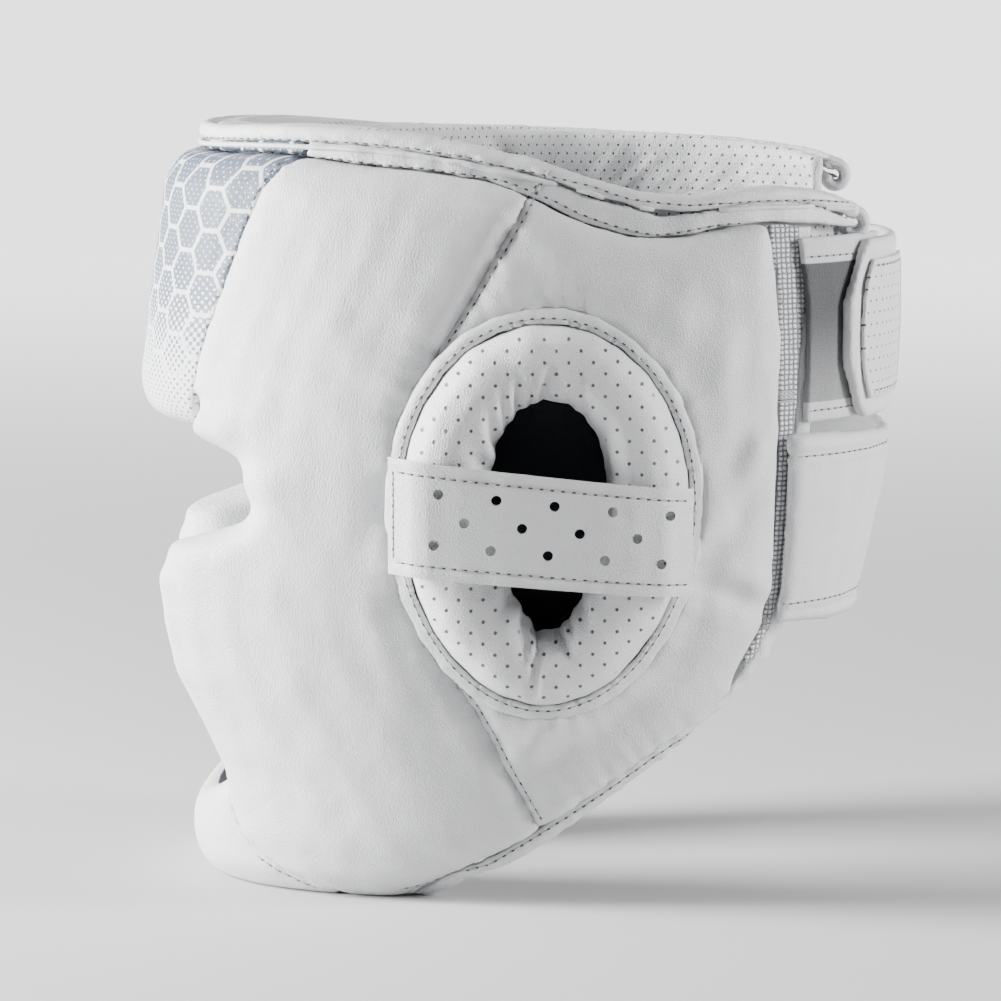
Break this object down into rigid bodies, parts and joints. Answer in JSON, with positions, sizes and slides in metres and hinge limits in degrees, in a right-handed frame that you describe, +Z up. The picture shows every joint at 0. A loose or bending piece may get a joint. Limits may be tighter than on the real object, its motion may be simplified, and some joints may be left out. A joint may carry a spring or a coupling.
{
  "type": "full face head guard",
  "caption": "Full face boxing head guard: leather cushions round the head, open face, chin bar, padded ear rings with perforated straps, and hook-and-loop straps at the back.",
  "frame": {"origin": "centre of the footprint on the floor plane that the chin bar and cheek cushions stand on", "axes": "+Z up; the wearer faces -Y; the wearer's left is +X"},
  "size_m": [0.2378, 0.2793, 0.278],
  "materials": {
    "white_leather": "fine grain, satin",
    "printed_leather": "fine grain with a printed cell pattern, satin",
    "dark_lining": "matt suede-like",
    "woven_tape": "coarse woven",
    "loop_fabric": "brushed loop pile"
  },
  "bodies": {
    "root": {"forehead_pad": "printed_leather", "chin_bar": "white_leather", "collar_front": "printed_leather", "rim_binding": "white_leather", "sweatband": "white_leather", "sweatband_piping": "white_leather", "lining_front": "dark_lining", "closure_strap": "white_leather", "closure_tab_pad": "white_leather", "neck_strap": "white_leather", "cheek_pad_left": "white_leather", "side_pad_left": "white_leather", "collar_left": "white_leather", "lining_left": "dark_lining", "ear_mesh_left": "dark_lining", "ear_ring_left": "white_leather", "ear_flange_left": "white_leather", "ear_strap_left": "white_leather", "lower_binding_left": "white_leather", "rear_flap_left": "white_leather", "webbing_left": "woven_tape", "wing_left": "loop_fabric", "cheek_pad_right": "white_leather", "side_pad_right": "white_leather", "collar_right": "white_leather", "lining_right": "dark_lining", "ear_mesh_right": "dark_lining", "ear_ring_right": "white_leather", "ear_flange_right": "white_leather", "ear_strap_right": "white_leather", "lower_binding_right": "white_leather", "rear_flap_right": "white_leather", "webbing_right": "woven_tape", "wing_right": "loop_fabric"}
  },
  "joints": []
}
